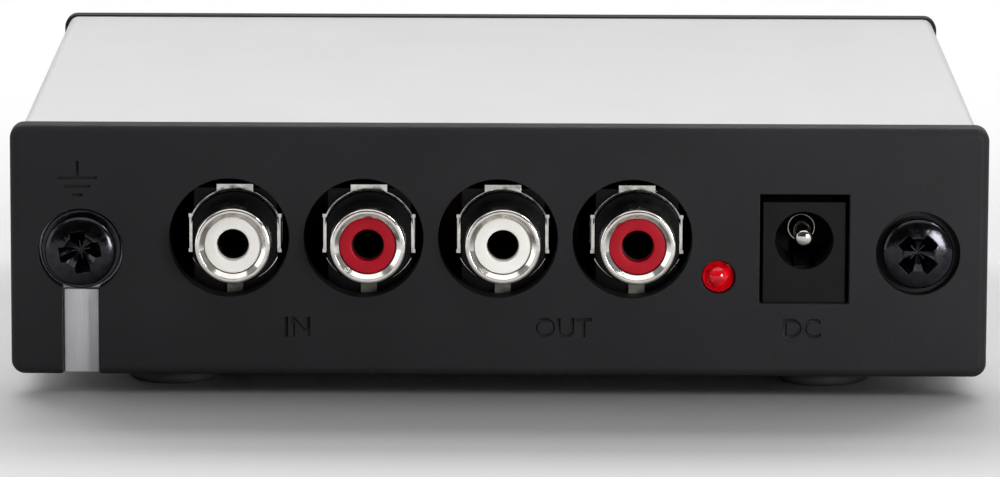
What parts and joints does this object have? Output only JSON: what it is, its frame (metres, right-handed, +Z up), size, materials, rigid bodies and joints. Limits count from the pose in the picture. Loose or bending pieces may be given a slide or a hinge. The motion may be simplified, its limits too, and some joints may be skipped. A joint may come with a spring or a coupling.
{
  "type": "phono preamp",
  "caption": "Small flat phono preamp: aluminium sleeve between black end panels, with phono sockets, power socket, indicator and ground screw at the rear.",
  "frame": {"origin": "on the table under the middle of the box that holds the part", "axes": "+X to the right when looking at the rear panel, +Y from the rear panel to the front panel, +Z up"},
  "size_m": [0.107, 0.094, 0.0297],
  "materials": {
    "satin_aluminium": "satin, silver anodised",
    "black_moulding": "fine moulded grain",
    "foot_rubber": "matte",
    "bare_steel": "bare, rolled",
    "black_steel": "black zinc, semi-gloss",
    "green_laminate": "glass-fibre board with solder mask",
    "socket_moulding": "moulded, semi-gloss",
    "nickel_plate": "nickel plated",
    "white_insulator": "moulded",
    "red_insulator": "moulded",
    "contact_metal": "tinned brass",
    "red_lens": "clear red epoxy",
    "tinned_leads": "tinned",
    "black_epoxy": "moulded epoxy",
    "dark_blue_sleeve": "shrunk vinyl",
    "dark_green_sleeve": "shrunk vinyl",
    "red_box": "moulded box",
    "beige_lacquer": "lacquered",
    "ferrite": "ferrite and enamelled wire"
  },
  "bodies": {
    "case": {"case_sleeve": "satin_aluminium", "rear_panel": "black_moulding", "front_panel": "black_moulding", "ground_plate": "bare_steel", "case_screw": "black_steel", "circuit_board": "green_laminate", "foot_1": "foot_rubber", "foot_2": "foot_rubber", "foot_3": "foot_rubber", "foot_4": "foot_rubber", "jack_1_body": "socket_moulding", "jack_1_frame": "nickel_plate", "jack_1_collar": "socket_moulding", "jack_1_barrel": "nickel_plate", "jack_1_insulator": "white_insulator", "jack_1_contact": "contact_metal", "jack_2_body": "socket_moulding", "jack_2_frame": "nickel_plate", "jack_2_collar": "socket_moulding", "jack_2_barrel": "nickel_plate", "jack_2_insulator": "red_insulator", "jack_2_contact": "contact_metal", "jack_3_body": "socket_moulding", "jack_3_frame": "nickel_plate", "jack_3_collar": "socket_moulding", "jack_3_barrel": "nickel_plate", "jack_3_insulator": "white_insulator", "jack_3_contact": "contact_metal", "jack_4_body": "socket_moulding", "jack_4_frame": "nickel_plate", "jack_4_collar": "socket_moulding", "jack_4_barrel": "nickel_plate", "jack_4_insulator": "red_insulator", "jack_4_contact": "contact_metal", "power_body": "socket_moulding", "power_pin": "nickel_plate", "power_terminal": "contact_metal", "led_lens": "red_lens", "led_leads": "tinned_leads", "op_amp_1": "black_epoxy", "op_amp_2": "black_epoxy", "op_amp_pins": "tinned_leads", "supply_capacitors": "dark_blue_sleeve", "coupling_capacitors": "dark_green_sleeve", "capacitor_leads": "tinned_leads", "film_capacitors": "red_box", "film_leads": "tinned_leads", "resistors": "beige_lacquer", "resistor_leads": "tinned_leads", "regulators": "black_epoxy", "regulator_leads": "tinned_leads", "diodes": "black_epoxy", "inductor": "ferrite"},
    "ground_clamp": {"ground_washer": "black_steel"},
    "ground_turn": {"ground_screw": "black_steel"},
    "power_leaf": {"power_spring": "contact_metal"}
  },
  "joints": [
    {"name": "ground_screw_travel", "type": "slide", "parent": "case", "child": "ground_clamp", "axis": [0, -1, 0], "range_m": [0, 0.0028]},
    {"name": "ground_screw_turn", "type": "hinge", "parent": "ground_clamp", "child": "ground_turn", "pos_m": [-0.0458, -0.0418, 0.01585], "axis": [0, -1, 0], "range_deg": [0, 1440]},
    {"name": "power_spring_flex", "type": "hinge", "parent": "case", "child": "power_leaf", "pos_m": [0.0334, -0.031, 0.01255], "axis": [1, 0, 0], "range_deg": [0, 4], "stiffness_Nm_per_rad": 0.4}
  ],
  "couplings": [
    {"joint": "ground_screw_turn", "follows": "ground_screw_travel", "rad_per_m": 8975.9}
  ]
}
